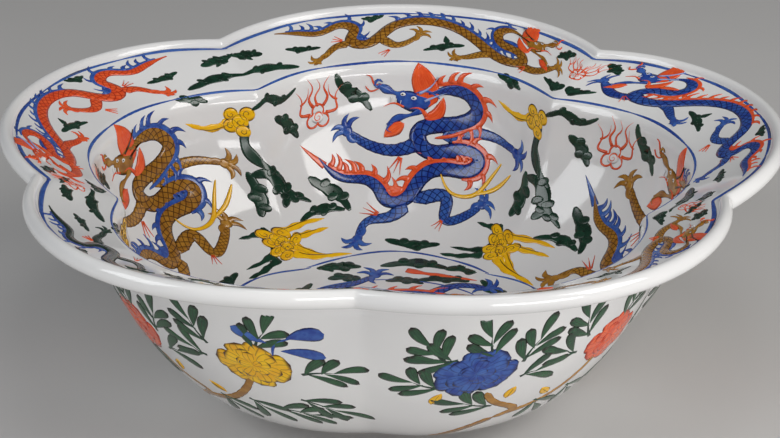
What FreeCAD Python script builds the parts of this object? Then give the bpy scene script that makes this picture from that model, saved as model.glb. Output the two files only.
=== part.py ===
import FreeCAD, Part
import math
import os

os.makedirs("parts", exist_ok=True)

# Large porcelain bowl with a five-lobed everted rim.  It stands on its foot at z = 0, its axis
# is +Z, and one of the five notches between the lobes faces -Y (the front).
# A radius is always the one at the middle of a lobe; the notch depth is the ratio of the
# radius in a notch to the radius at the middle of a lobe.  Millimetres throughout.

# Driving dimensions
LOBES = 5
RIM_RADIUS = 200.0           # outermost point of the rolled lip
TOTAL_HEIGHT = 129.4         # foot to the top of the rolled lip, at the middle of a lobe
LIP_HALF_WIDTH = 3.8
LIP_HALF_HEIGHT = 4.6
FLANGE_OUTER_RADIUS = 190.0  # where the sloping ledge meets the fillet below the lip
FLANGE_OUTER_Z = 124.9
SHOULDER_RADIUS = 157.0      # where the ledge starts to turn down into the cavity
SHOULDER_Z = 112.4
CAVITY_RADIUS = 150.5        # top of the inside wall
CAVITY_Z = 103.8
FLOOR_EDGE_RADIUS = 86.0     # foot of the inside wall
FLOOR_EDGE_Z = 27.3
FLOOR_FLAT_RADIUS = 60.0
FLOOR_Z = 24.0
FLOOR_UNDER_Z = 13.3         # underside of the clay floor
WALL_TOP_RADIUS = 161.4      # outside wall, just under the ledge
WALL_TOP_Z = 102.2
BELLY_RADIUS = 85.4          # lower end of the outside wall's sweep
BELLY_Z = 7.6
FOOT_TOP_RADIUS = 76.0
FOOT_RADIUS = 70.0
FOOT_INNER_RADIUS = 59.0
FOOT_SEAT_OUTER = 66.9       # flat unglazed ring the bowl stands on
FOOT_SEAT_INNER = 62.0
GLAZE = 0.45                 # thickness of the clear glaze coat
GLAZE_END_Z = 1.6            # the glaze stops this far above the table

LIP_RADIUS = RIM_RADIUS - LIP_HALF_WIDTH
LIP_Z = TOTAL_HEIGHT - LIP_HALF_HEIGHT

# Notches of each zone: depth, softness (the smaller, the crisper the crease) and dip, the
# millimetres by which the surface is lower in the notch than at the middle of a lobe
LIP_NOTCH = (0.880, 0.006, 2.8)
LEDGE_NOTCH = (0.862, 0.009, 2.4)
SHOULDER_NOTCH = (0.864, 0.015, 1.4)
INSIDE_NOTCH = (0.890, 0.030, 0.0)
WALL_NOTCH = (0.920, 0.012, 0.0)
BELLY_NOTCH = (0.925, 0.016, 0.0)
FOOT_NOTCH = (0.930, 0.020, 0.0)

HALF_LOBE = math.pi / LOBES
SAMPLES = 12
SEW_GAP = 0.002              # neighbouring faces meet at least this closely


def lobe_factor(angle, ratio, soft):
    """Radius of the lobed outline at an angle from the middle of a lobe, crest radius 1.

    Each lobe is a circular arc that passes through radius 1 at its middle and through the notch
    ratio at its ends; two neighbouring arcs are joined by a smooth maximum.
    """
    shift = (1 - ratio ** 2) / (2 * (1 - ratio * math.cos(HALF_LOBE)))
    radius = 1 - shift

    def arc(a):
        return shift * math.cos(a) + math.sqrt(radius ** 2 - (shift * math.sin(a)) ** 2)

    here = arc(angle)
    there = arc(2 * HALF_LOBE - abs(angle))
    return 0.5 * (here + there + math.sqrt((here - there) ** 2 + soft ** 2))


# Angles across one lobe, crowded towards its two notches
ANGLES = [HALF_LOBE * math.sin(math.pi / 2 * i / SAMPLES) for i in range(-SAMPLES, SAMPLES + 1)]


def row_points(row):
    """Points of one outline over the lobe that faces +Y; a row is (radius, z, ratio, soft, dip)."""
    radius, z, ratio, soft, dip = row
    points = []
    for angle in ANGLES:
        factor = lobe_factor(angle, ratio, soft)
        r = radius * factor
        lower = dip * ((1 - factor) / (1 - ratio)) ** 2
        points.append(FreeCAD.Vector(-r * math.sin(angle), r * math.cos(angle), z - lower))
    return points


def turned(shape, index):
    copy = shape.copy()
    copy.rotate(FreeCAD.Vector(0, 0, 0), FreeCAD.Vector(0, 0, 1), 360.0 / LOBES * index)
    return copy


def outline(row):
    """One lobe's outline as a smooth curve, square to the radius in both notches."""
    points = row_points(row)
    curve = Part.BSplineCurve()
    curve.interpolate(Points=points, Parameters=ANGLES, Scale=False,
                      InitialTangent=across(points[0]), FinalTangent=across(points[-1]))
    return curve


def across(point):
    return FreeCAD.Vector(-point.y, point.x, 0)


def band(rows):
    """The five faces of a surface through four outlines, spaced evenly along a cubic profile."""
    curves = [outline(row) for row in rows]
    columns = []
    for first, second, third, last in zip(*[curve.getPoles() for curve in curves]):
        lower = (second * 18 - first * 5 - third * 9 + last * 2) / 6
        upper = (third * 18 - last * 5 - second * 9 + first * 2) / 6
        columns.append((first, lower, upper, last))
    surface = Part.BSplineSurface()
    surface.buildFromPolesMultsKnots(
        [list(row) for row in zip(*columns)], [4, 4], curves[0].getMultiplicities(),
        [0.0, 1.0], curves[0].getKnots(), False, False, 3, curves[0].Degree)
    face = surface.toShape()
    return [turned(face, i) for i in range(LOBES)]


def closed_wire(row):
    edge = outline(row).toShape()
    return Part.Wire(Part.__sortEdges__([turned(edge, i) for i in range(LOBES)]))


def flat(row, hole=None):
    """A flat face inside one outline, or the flat ring between it and a smaller one."""
    wires = [closed_wire(row)]
    if hole is not None:
        wires.append(closed_wire(hole))
    return [Part.makeFace(wires, "Part::FaceMakerBullseye")]


def straight(first, last):
    rows = []
    for i in range(4):
        rows.append(tuple(a + (b - a) * i / 3 for a, b in zip(first, last)))
    return rows


def profile(points, first_notch, last_notch):
    """Four rows along a Bezier profile of four (radius, z) points; the notch changes evenly."""
    rows = []
    for i in range(4):
        t = i / 3
        weights = ((1 - t) ** 3, 3 * t * (1 - t) ** 2, 3 * t * t * (1 - t), t ** 3)
        radius = sum(w * p[0] for w, p in zip(weights, points))
        z = sum(w * p[1] for w, p in zip(weights, points))
        notch = tuple(a + (b - a) * t for a, b in zip(first_notch, last_notch))
        rows.append((radius, z) + notch)
    return rows


def lip_point(degrees):
    """(radius, z) on the lip's oval section, the angle measured from the outward direction."""
    a = math.radians(degrees)
    return (LIP_RADIUS + LIP_HALF_WIDTH * math.cos(a), LIP_Z + LIP_HALF_HEIGHT * math.sin(a))


def lip_strips(first, last, count):
    """Strips of four rows round the lip's oval section."""
    step = (last - first) / count
    strips = []
    for i in range(count):
        start = first + step * i
        strips.append([lip_point(start + step * j / 3) + LIP_NOTCH for j in range(4)])
    return strips


SLOPES = ((-11, 18, -9, 2), (-2, -3, 6, -1), (1, -6, 3, 2), (-2, 9, -18, 11))


def directions(strip):
    """Unit (radius, z) directions of the cubic profile at its four rows."""
    result = []
    for weights in SLOPES:
        dr = sum(w * row[0] for w, row in zip(weights, strip))
        dz = sum(w * row[1] for w, row in zip(weights, strip))
        size = math.hypot(dr, dz)
        result.append((dr / size, dz / size))
    return result


def inset(strips, depth, side):
    """The same run of strips moved by a depth along the profile's normal, joints kept shared."""
    facing = [directions(strip) for strip in strips]
    for before, after in zip(facing, facing[1:]):
        dr = before[-1][0] + after[0][0]
        dz = before[-1][1] + after[0][1]
        size = math.hypot(dr, dz)
        before[-1] = (dr / size, dz / size)
        after[0] = before[-1]
    moved = []
    for strip, towards in zip(strips, facing):
        rows = []
        for row, (dr, dz) in zip(strip, towards):
            rows.append((row[0] + side * depth * dz, row[1] - side * depth * dr) + row[2:])
        moved.append(rows)
    return moved


def level(row, z):
    return (row[0], z) + row[2:]


def solid(name, faces):
    """Sew the faces to one closed solid, check it and write it."""
    shell = Part.makeShell(faces)
    shell.sewShape(SEW_GAP)
    if shell.ShapeType != "Shell":
        shell = shell.Shells[0]
    body = Part.Solid(shell)
    if body.Volume < 0:
        body.reverse()
    if not (body.isValid() and shell.isClosed() and body.Volume > 0):
        raise RuntimeError(name + " is not a closed solid")
    body.exportStep("parts/" + name + ".step")
    print(name, "volume", round(body.Volume), "faces", len(body.Faces))
    return body


def bands(strips):
    faces = []
    for strip in strips:
        faces.extend(band(strip))
    return faces


# Glazed surface seen from above: round the lip from its underside, over the crest, down the
# ledge and the cavity to the flat of the floor
inside = lip_strips(-76, 160, 5) + [
    profile([lip_point(160), (192.37, 125.5), (191.2, 125.38), (FLANGE_OUTER_RADIUS, FLANGE_OUTER_Z)],
            LIP_NOTCH, LEDGE_NOTCH),
    profile([(FLANGE_OUTER_RADIUS, FLANGE_OUTER_Z), (179.0, 120.5), (168.0, 116.2),
             (SHOULDER_RADIUS, SHOULDER_Z)], LEDGE_NOTCH, SHOULDER_NOTCH),
    profile([(SHOULDER_RADIUS, SHOULDER_Z), (153.6, 111.4), (150.9, 108.4),
             (CAVITY_RADIUS, CAVITY_Z)], SHOULDER_NOTCH, SHOULDER_NOTCH),
    profile([(CAVITY_RADIUS, CAVITY_Z), (148.5, 75.8), (125.0, 39.0),
             (FLOOR_EDGE_RADIUS, FLOOR_EDGE_Z)], SHOULDER_NOTCH, INSIDE_NOTCH),
    profile([(FLOOR_EDGE_RADIUS, FLOOR_EDGE_Z), (78.0, 24.9), (70.0, FLOOR_Z),
             (FLOOR_FLAT_RADIUS, FLOOR_Z)], INSIDE_NOTCH, INSIDE_NOTCH),
]
inside_clay = inset(inside, GLAZE, -1)
inside_clay[-1][-1] = level(inside_clay[-1][-1], FLOOR_Z - GLAZE)

# Glazed surface seen from outside: below the ledge, down the wall and onto the foot
outside = [
    profile([lip_point(-76), (189.0, 118.4), (181.0, 115.8), (174.0, 113.2)], LIP_NOTCH, LIP_NOTCH),
    profile([(174.0, 113.2), (166.5, 110.2), (163.5, 107.6), (WALL_TOP_RADIUS, WALL_TOP_Z)],
            LIP_NOTCH, WALL_NOTCH),
    profile([(WALL_TOP_RADIUS, WALL_TOP_Z), (151.1, 74.6), (125.6, 21.6), (BELLY_RADIUS, BELLY_Z)],
            WALL_NOTCH, BELLY_NOTCH),
    profile([(BELLY_RADIUS, BELLY_Z), (82.0, 6.4), (79.0, 5.9), (FOOT_TOP_RADIUS, 5.6)],
            BELLY_NOTCH, FOOT_NOTCH),
    profile([(FOOT_TOP_RADIUS, 5.6), (73.0, 5.3), (70.6, 5.2), (FOOT_RADIUS, 3.2)],
            FOOT_NOTCH, FOOT_NOTCH),
    profile([(FOOT_RADIUS, 3.2), (69.85, 2.7), (69.7, 2.2), (69.5, GLAZE_END_Z)],
            FOOT_NOTCH, FOOT_NOTCH),
]
outside_clay = inset(outside, GLAZE, 1)
outside_clay[0][0] = inside_clay[0][0]
outside_clay[-1][-1] = level(outside_clay[-1][-1], GLAZE_END_Z)

# Glazed surface inside the foot, from its lower edge up to the middle of the base
base_glazed_z = FLOOR_UNDER_Z - GLAZE
base = [
    profile([(60.6, GLAZE_END_Z), (60.1, 4.0), (59.5, 7.0), (FOOT_INNER_RADIUS, 9.6)],
            FOOT_NOTCH, FOOT_NOTCH),
    profile([(FOOT_INNER_RADIUS, 9.6), (58.7, 11.8), (58.0, base_glazed_z), (55.5, base_glazed_z)],
            FOOT_NOTCH, FOOT_NOTCH),
]
base_clay = inset(base, GLAZE, 1)
base_clay[0][0] = level(base_clay[0][0], GLAZE_END_Z)
base_clay[-1][-1] = level(base_clay[-1][-1], FLOOR_UNDER_Z)

# The clay's surface by stretches
lip_clay = inside_clay[:5]
ledge_clay = inside_clay[5:8]
cavity_clay = inside_clay[8]
floor_clay = inside_clay[9]
under_clay = outside_clay[:2]
wall_clay = outside_clay[2:4]
foot_clay = outside_clay[4:]

# Joints between the luted pieces of clay
joint_corner = (74.0, FLOOR_UNDER_Z) + FOOT_NOTCH
lip_joint = straight(lip_clay[-1][-1], lip_clay[0][0])
ledge_joint = straight(ledge_clay[-1][-1], under_clay[-1][-1])
floor_joint = straight(cavity_clay[-1], joint_corner)
foot_joint = straight(joint_corner, wall_clay[-1][-1])

# Rolled lip: the oval bead that finishes the rim
solid("rim_bead", bands(lip_clay + [lip_joint]))

# Ledge: the broad everted rim with the shoulder where it turns down into the cavity
solid("rim_flange", bands(ledge_clay + under_clay + [lip_joint, ledge_joint]))

# Wall of the cavity
solid("bowl_wall", bands([cavity_clay] + wall_clay + [ledge_joint, floor_joint, foot_joint]))

# Floor: the lobed disc luted into the wall
solid("floor_disc", bands([floor_clay, floor_joint]) + flat(floor_clay[-1]) + flat(joint_corner))

# Foot: the ring the bowl stands on, its flat seat left unglazed
seat_outer = (FOOT_SEAT_OUTER, 0.0) + FOOT_NOTCH
seat_inner = (FOOT_SEAT_INNER, 0.0) + FOOT_NOTCH
outer_edge = foot_clay[-1][-1]
inner_edge = base_clay[0][0]
solid("foot_ring", bands(foot_clay + base_clay + [
    foot_joint,
    profile([outer_edge[:2], (68.9, 0.7), (68.2, 0.0), seat_outer[:2]], FOOT_NOTCH, FOOT_NOTCH),
    profile([seat_inner[:2], (61.3, 0.0), (61.1, 0.7), inner_edge[:2]], FOOT_NOTCH, FOOT_NOTCH),
]) + flat(seat_outer, seat_inner) + flat(joint_corner, base_clay[-1][-1]))

# Clear glaze: one coat inside and over the lip, one outside, one inside the foot
solid("inside_glaze", bands(inside + inside_clay + [straight(inside[0][0], inside_clay[0][0])])
      + flat(inside[-1][-1]) + flat(inside_clay[-1][-1]))
solid("outside_glaze", bands(outside + outside_clay + [
    straight(outside[0][0], outside_clay[0][0]),
    straight(outside[-1][-1], outside_clay[-1][-1]),
]))
solid("base_glaze", bands(base + base_clay + [straight(base[0][0], base_clay[0][0])])
      + flat(base[-1][-1]) + flat(base_clay[-1][-1]))
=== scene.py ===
import math

import bpy
import numpy as np
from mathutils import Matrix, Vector


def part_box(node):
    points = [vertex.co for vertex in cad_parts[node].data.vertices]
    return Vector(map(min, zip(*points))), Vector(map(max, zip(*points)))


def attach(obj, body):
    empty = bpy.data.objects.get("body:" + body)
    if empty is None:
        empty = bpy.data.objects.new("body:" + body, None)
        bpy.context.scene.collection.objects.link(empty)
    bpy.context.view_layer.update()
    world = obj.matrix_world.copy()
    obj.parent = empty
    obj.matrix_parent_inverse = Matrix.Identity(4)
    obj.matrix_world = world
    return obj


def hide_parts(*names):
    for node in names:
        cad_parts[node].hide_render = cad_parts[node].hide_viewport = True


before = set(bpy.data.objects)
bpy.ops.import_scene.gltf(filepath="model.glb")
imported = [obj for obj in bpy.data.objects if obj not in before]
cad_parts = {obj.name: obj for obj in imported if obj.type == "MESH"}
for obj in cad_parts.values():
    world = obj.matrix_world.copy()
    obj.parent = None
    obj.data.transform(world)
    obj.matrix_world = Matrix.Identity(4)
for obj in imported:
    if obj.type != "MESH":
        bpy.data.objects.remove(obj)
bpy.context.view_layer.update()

bl_info = {
    "name": "Lobed punch bowl",
    "version": (1, 0, 0),
    "blender": (4, 5, 0),
    "location": "3D View > Sidebar > Punch bowl",
    "description": "Porcelain punch bowl with a five-lobed rim, painted in coloured enamels",
    "category": "Add Mesh",
}

MM = 0.001

# ------------------------------------------------------------------------ sizes
# Millimetres, from the frame where the frame gives them.  A radius is taken at the middle of
# a lobe.  A notch is the radius in the notch as a share of that radius, its softness, and the
# millimetres by which the surface is lower there.

LOBES = 5
HALF_LOBE = math.pi / LOBES
TOTAL_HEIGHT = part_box("inside_glaze")[1][2] / MM
RIM_RADIUS = 200.0
LIP_HALF_WIDTH = 3.8
LIP_HALF_HEIGHT = 4.6
LIP_RADIUS = RIM_RADIUS - LIP_HALF_WIDTH
LIP_Z = TOTAL_HEIGHT - LIP_HALF_HEIGHT
GLAZE = 0.45
GLAZE_END_Z = 1.6
LIP_INNER_ANGLE = 160.0
LIP_UNDER_ANGLE = -76.0

LIP_NOTCH = (0.880, 0.006, 2.8)
LEDGE_NOTCH = (0.862, 0.009, 2.4)
SHOULDER_NOTCH = (0.864, 0.015, 1.4)
INSIDE_NOTCH = (0.890, 0.030, 0.0)
WALL_NOTCH = (0.920, 0.012, 0.0)
BELLY_NOTCH = (0.925, 0.016, 0.0)
FOOT_NOTCH = (0.930, 0.020, 0.0)

# Azimuths of the five lobes' middles, in degrees from +X; a notch faces -Y
BACK, LEFT, FRONT_LEFT, FRONT_RIGHT, RIGHT = 90.0, 162.0, 234.0, 306.0, 18.0


# ------------------------------------------------------------------------ surfaces

def lobe_factor(angle, ratio, soft):
    """Distance from the axis of the five-lobed outline, 1 at the middle of a lobe.

    A lobe is a circular arc r(a) = c cos a + sqrt((1-c)^2 - (c sin a)^2), with c chosen so that
    r is the notch ratio at its ends.  Two neighbouring arcs p and q are joined by the smooth
    maximum (p + q + sqrt((p-q)^2 + soft^2)) / 2.
    """
    a = (angle + HALF_LOBE) % (2 * HALF_LOBE) - HALF_LOBE
    c = (1 - ratio ** 2) / (2 * (1 - ratio * math.cos(HALF_LOBE)))
    b = 2 * HALF_LOBE - np.abs(a)
    p = c * np.cos(a) + np.sqrt((1 - c) ** 2 - (c * np.sin(a)) ** 2)
    q = c * np.cos(b) + np.sqrt((1 - c) ** 2 - (c * np.sin(b)) ** 2)
    return (p + q + np.sqrt((p - q) ** 2 + soft ** 2)) / 2


def lobed(angle, radius, z, ratio, soft, dip):
    """Radius and height at an angle from the middle of the lobe at +Y.

    radius * f and z - dip ((1 - f) / (1 - ratio))^2, f being the lobe factor.
    """
    factor = lobe_factor(angle, ratio, soft)
    return radius * factor, z - dip * ((1 - factor) / (1 - ratio)) ** 2


def bezier_rows(points, first_notch, last_notch, steps):
    """Rows (radius, z, ratio, soft, dip) along the cubic Bezier curve of four (radius, z) points."""
    t = np.linspace(0, 1, steps + 1)[:, None]
    p = np.array(points, float)
    curve = (1 - t) ** 3 * p[0] + 3 * t * (1 - t) ** 2 * p[1] + 3 * t * t * (1 - t) * p[2] + t ** 3 * p[3]
    notch = np.array(first_notch) * (1 - t) + np.array(last_notch) * t
    return np.hstack([curve, notch])


def lip_rows(first, last, steps):
    """Rows round the lip's oval section: radius = R + w cos a, z = Z + h sin a, in degrees."""
    a = np.radians(np.linspace(first, last, steps + 1))
    oval = np.stack([LIP_RADIUS + LIP_HALF_WIDTH * np.cos(a), LIP_Z + LIP_HALF_HEIGHT * np.sin(a)], 1)
    return np.hstack([oval, np.tile(LIP_NOTCH, (len(a), 1))])


def straight_rows(first, last, steps):
    """Rows first (1 - t) + last t."""
    t = np.linspace(0, 1, steps + 1)[:, None]
    return np.array(first) * (1 - t) + np.array(last) * t


def joined(*stretches):
    """Stretches of rows that meet end to start, as one run."""
    return np.vstack([stretches[0]] + [s[1:] for s in stretches[1:]])


def inset(rows, depth):
    """The run moved by a depth to the right of its direction, along the profile's normal."""
    step = np.gradient(rows[:, :2], axis=0)
    step /= np.linalg.norm(step, axis=1)[:, None]
    moved = rows.copy()
    moved[:, 0] += depth * step[:, 1]
    moved[:, 1] -= depth * step[:, 0]
    return moved


FLOOR_FLAT = (60.0, 24.0)
FLOOR_EDGE = (86.0, 27.3)
CAVITY_TOP = (150.5, 103.8)
SHOULDER = (157.0, 112.4)
LEDGE_OUTER = (190.0, 124.9)
LIP_INNER = tuple(lip_rows(LIP_INNER_ANGLE, LIP_INNER_ANGLE, 1)[0][:2])
LIP_UNDER = tuple(lip_rows(LIP_UNDER_ANGLE, LIP_UNDER_ANGLE, 1)[0][:2])
WALL_TOP = (161.4, 102.2)
BELLY = (85.4, 7.6)
FOOT_TOP = (76.0, 5.6)
FOOT_SIDE = (70.0, 3.2)
FOOT_INNER = (59.0, 9.6)
BASE_Z = 12.85
FLOOR_RING = 62.0

floor_flat = straight_rows((0.0, 24.0) + INSIDE_NOTCH, FLOOR_FLAT + INSIDE_NOTCH, 12)
floor_edge = bezier_rows([FLOOR_FLAT, (70.0, 24.0), (78.0, 24.9), FLOOR_EDGE], INSIDE_NOTCH, INSIDE_NOTCH, 14)
cavity = bezier_rows([FLOOR_EDGE, (125.0, 39.0), (148.5, 75.8), CAVITY_TOP], INSIDE_NOTCH, SHOULDER_NOTCH, 50)
shoulder = bezier_rows([CAVITY_TOP, (150.9, 108.4), (153.6, 111.4), SHOULDER],
                       SHOULDER_NOTCH, SHOULDER_NOTCH, 14)
ledge = bezier_rows([SHOULDER, (168.0, 116.2), (179.0, 120.5), LEDGE_OUTER], SHOULDER_NOTCH, LEDGE_NOTCH, 16)
lip_fillet = bezier_rows([LEDGE_OUTER, (191.2, 125.38), (192.37, 125.5), LIP_INNER],
                         LEDGE_NOTCH, LIP_NOTCH, 8)
lip = lip_rows(LIP_INNER_ANGLE, LIP_UNDER_ANGLE, 56)
under_ledge = bezier_rows([LIP_UNDER, (189.0, 118.4), (181.0, 115.8), (174.0, 113.2)],
                          LIP_NOTCH, LIP_NOTCH, 10)
under_fillet = bezier_rows([(174.0, 113.2), (166.5, 110.2), (163.5, 107.6), WALL_TOP],
                           LIP_NOTCH, WALL_NOTCH, 14)
outer_wall = bezier_rows([WALL_TOP, (151.1, 74.6), (125.6, 21.6), BELLY], WALL_NOTCH, BELLY_NOTCH, 60)
underbelly = bezier_rows([BELLY, (82.0, 6.4), (79.0, 5.9), FOOT_TOP], BELLY_NOTCH, FOOT_NOTCH, 6)
foot_fillet = bezier_rows([FOOT_TOP, (73.0, 5.3), (70.6, 5.2), FOOT_SIDE], FOOT_NOTCH, FOOT_NOTCH, 8)
foot_side = straight_rows(FOOT_SIDE + FOOT_NOTCH, (69.5, GLAZE_END_Z) + FOOT_NOTCH, 3)
seat = joined(
    bezier_rows([(69.07, GLAZE_END_Z), (68.9, 0.7), (68.2, 0.0), (66.9, 0.0)], FOOT_NOTCH, FOOT_NOTCH, 6),
    straight_rows((66.9, 0.0) + FOOT_NOTCH, (62.0, 0.0) + FOOT_NOTCH, 3),
    bezier_rows([(62.0, 0.0), (61.3, 0.0), (61.1, 0.7), (61.05, GLAZE_END_Z)], FOOT_NOTCH, FOOT_NOTCH, 6))
base_side = bezier_rows([(60.6, GLAZE_END_Z), (60.1, 4.0), (59.5, 7.0), FOOT_INNER],
                        FOOT_NOTCH, FOOT_NOTCH, 6)
base_fillet = bezier_rows([FOOT_INNER, (58.7, 11.8), (58.0, BASE_Z), (55.5, BASE_Z)],
                          FOOT_NOTCH, FOOT_NOTCH, 8)
base_flat = straight_rows((55.5, BASE_Z) + FOOT_NOTCH, (0.0, BASE_Z) + FOOT_NOTCH, 8)

inside_run = joined(floor_flat, floor_edge, cavity, shoulder, ledge, lip_fillet, lip)
outside_run = joined(under_ledge, under_fillet, outer_wall, underbelly, foot_fillet, foot_side)
base_run = joined(base_side, base_fillet, base_flat)


def make_mesh(name, points, faces):
    """A smooth piece that rides on the root body; points are in millimetres."""
    mesh = bpy.data.meshes.new(name)
    mesh.from_pydata((points * MM).tolist(), [], faces)
    mesh.polygons.foreach_set("use_smooth", [True] * len(mesh.polygons))
    mesh.update()
    piece = bpy.data.objects.new(name, mesh)
    bpy.context.scene.collection.objects.link(piece)
    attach(piece, "root")
    return piece


def turned_body(name, rows, columns_per_lobe=60):
    """A closed body turned from a profile of rows, with five lobes.

    Point(i, a) = (r cos a, r sin a, z), with r and z from lobed(a, row i).
    A profile that starts and ends on the axis is closed with two poles; any other is a loop.
    Angles are crowded towards the notches.
    """
    u = np.linspace(-1, 1, columns_per_lobe, endpoint=False)
    one = HALF_LOBE * np.sin(math.pi / 2 * u)
    angles = (one[None, :] + 2 * HALF_LOBE * np.arange(LOBES)[:, None]).ravel() + math.pi / 2
    on_axis = rows[0, 0] < 1e-6
    ring = rows[1:-1] if on_axis else rows
    radius, z = lobed(angles[None, :] - math.pi / 2, *[ring[:, i:i + 1] for i in range(5)])
    grid = np.stack([radius * np.cos(angles), radius * np.sin(angles), z], -1)
    n, m = grid.shape[:2]
    index = np.arange(n * m).reshape(n, m)
    upper = index if not on_axis else index[:-1]
    lower = np.roll(index, -1, 0) if not on_axis else index[1:]
    faces = np.stack([upper, lower, np.roll(lower, -1, 1), np.roll(upper, -1, 1)], -1).reshape(-1, 4).tolist()
    points = grid.reshape(-1, 3)
    if on_axis:
        poles = np.array([[0, 0, rows[0, 1]], [0, 0, rows[-1, 1]]])
        points = np.vstack([points, poles])
        first, last = index[0], index[-1]
        start = np.stack([np.full(m, n * m), first, np.roll(first, -1)], -1)
        end = np.stack([np.full(m, n * m + 1), np.roll(last, -1), last], -1)
        faces += start.tolist() + end.tolist()
    return make_mesh(name, points, faces)


# ------------------------------------------------------------------------ zones to paint on

class Zone:
    """A stretch of glaze measured in millimetres.

    y runs along the profile from the stretch's first row; x runs round it from a given
    azimuth, to the right as one looks at the painted side.  Point(x, y) lies at the azimuth
    plus side * x / (ARC * radius(y)), on the lobed surface.
    """

    ARC = 0.97

    def __init__(self, rows, side):
        steps = np.hypot(np.diff(rows[:, 0]), np.diff(rows[:, 1]))
        self.rows = rows
        self.side = side
        self.length = np.concatenate([[0], np.cumsum(steps)])

    def point(self, azimuth, x, y):
        row = [np.interp(y, self.length, self.rows[:, i]) for i in range(5)]
        turn = np.radians(azimuth) + self.side * x / (self.ARC * np.maximum(row[0], 1.0))
        r, z = lobed(turn - math.pi / 2, *row)
        return np.stack([r * np.cos(turn), r * np.sin(turn), z], -1)

    def lifted(self, azimuth, x, y, height):
        """The point moved by a height along the normal, the cross product of both tangents."""
        step = 0.4
        across = self.point(azimuth, x + step, y) - self.point(azimuth, x - step, y)
        along = self.point(azimuth, x, y + step) - self.point(azimuth, x, y - step)
        normal = np.cross(across, along)
        normal /= np.linalg.norm(normal, axis=-1)[..., None]
        return self.point(azimuth, x, y) + normal * height[..., None]


class FlatZone(Zone):
    """The floor, painted in plain x and y as seen from above; y points at the azimuth."""

    def point(self, azimuth, x, y):
        """x and y turned with the azimuth, at the height of the lobed floor there."""
        a = np.radians(azimuth - 90.0)
        x, y = x * np.cos(a) - y * np.sin(a), x * np.sin(a) + y * np.cos(a)
        share = np.hypot(x, y) / lobe_factor(np.arctan2(y, x) - math.pi / 2, *INSIDE_NOTCH[:2])
        return np.stack([x, y, np.interp(share, self.rows[:, 0], self.rows[:, 1])], -1)


WALL_ZONE = Zone(joined(cavity, shoulder), -1)
LEDGE_ZONE = Zone(joined(ledge, lip_fillet), -1)
FLOOR_ZONE = FlatZone(joined(floor_flat, floor_edge), -1)
OUTER_ZONE = Zone(outer_wall[::-1], 1)


# ------------------------------------------------------------------------ brush strokes

def spline(values, count, ease=False):
    """A natural cubic spline through the rows of values, at count places along it.

    The parameter is the distance between the first two columns' points.  Second slopes M solve
    h0 M0 + 2 (h0 + h1) M1 + h1 M2 = 6 (d1 - d0), with M = 0 at both ends.  With ease the
    places are crowded towards the ends: t = (1 - cos(pi k)) / 2.
    """
    values = np.array(values, float)
    knots = np.concatenate([[0], np.cumsum(np.hypot(*np.diff(values[:, :2], axis=0).T))])
    h = np.diff(knots)
    slope = np.diff(values, axis=0) / h[:, None]
    size = len(values)
    matrix = np.eye(size)
    right = np.zeros_like(values)
    inner = np.arange(1, size - 1)
    matrix[inner, inner - 1] = h[:-1]
    matrix[inner, inner] = 2 * (h[:-1] + h[1:])
    matrix[inner, inner + 1] = h[1:]
    right[inner] = 6 * (slope[1:] - slope[:-1])
    bend = np.linalg.solve(matrix, right)
    k = np.linspace(0, 1, count)
    t = (1 - np.cos(math.pi * k)) / 2 if ease else k
    at = t * knots[-1]
    i = np.clip(np.searchsorted(knots, at, side="right") - 1, 0, size - 2)
    a = ((knots[i + 1] - at) / h[i])[:, None]
    b = 1 - a
    return t, (a * values[i] + b * values[i + 1]
               + ((a ** 3 - a) * bend[i] + (b ** 3 - b) * bend[i + 1]) * (h[i] ** 2)[:, None] / 6)


# Half-width along a stroke, as a share of its full half-width, for t from 0 to 1
def even(t):
    """Full width along nearly the whole stroke: 12 t (1 - t) + 1/4, at most 1."""
    return np.minimum(1, 12 * t * (1 - t) + 0.25)


def leaf(t):
    """Pointed at both ends, widest before the middle: a power of sin(pi t^0.85)."""
    return np.sin(math.pi * t ** 0.85) ** 0.8


def taper(t):
    """From full width to a point: (1 - t)^0.8."""
    return (1 - t) ** 0.8


def oval(t):
    """An ellipse: the square root of 1 - (2t - 1)^2."""
    return np.sqrt(np.clip(1 - (2 * t - 1) ** 2, 0, 1))


def brushed(t):
    """Blunt rounded ends: a low power of sin(pi t)."""
    return np.sin(math.pi * np.clip(t * 0.96 + 0.02, 0, 1)) ** 0.45


def club(t):
    """Narrow at the stalk, broad and round at the tip: t^0.8 times the root of 1 - t^3."""
    return 1.6 * t ** 0.8 * np.sqrt(np.clip(1 - t ** 3, 0, 1))


def cloudy(t):
    """Rounded ends and two soft swellings: a power of sin(pi t) times a slow wave."""
    swell = np.sin(math.pi * np.clip(t * 0.96 + 0.02, 0, 1)) ** 0.6
    return swell * (0.92 + 0.16 * np.sin(4.2 * math.pi * t + 0.6))


CROWN = 0.10          # a stroke's middle stands this far above its edges, millimetres
SUNK = 0.03           # its edges dip this far into the glaze
LAYER = 0.10          # every layer of strokes lies this much higher
THINNEST = 0.05


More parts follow.
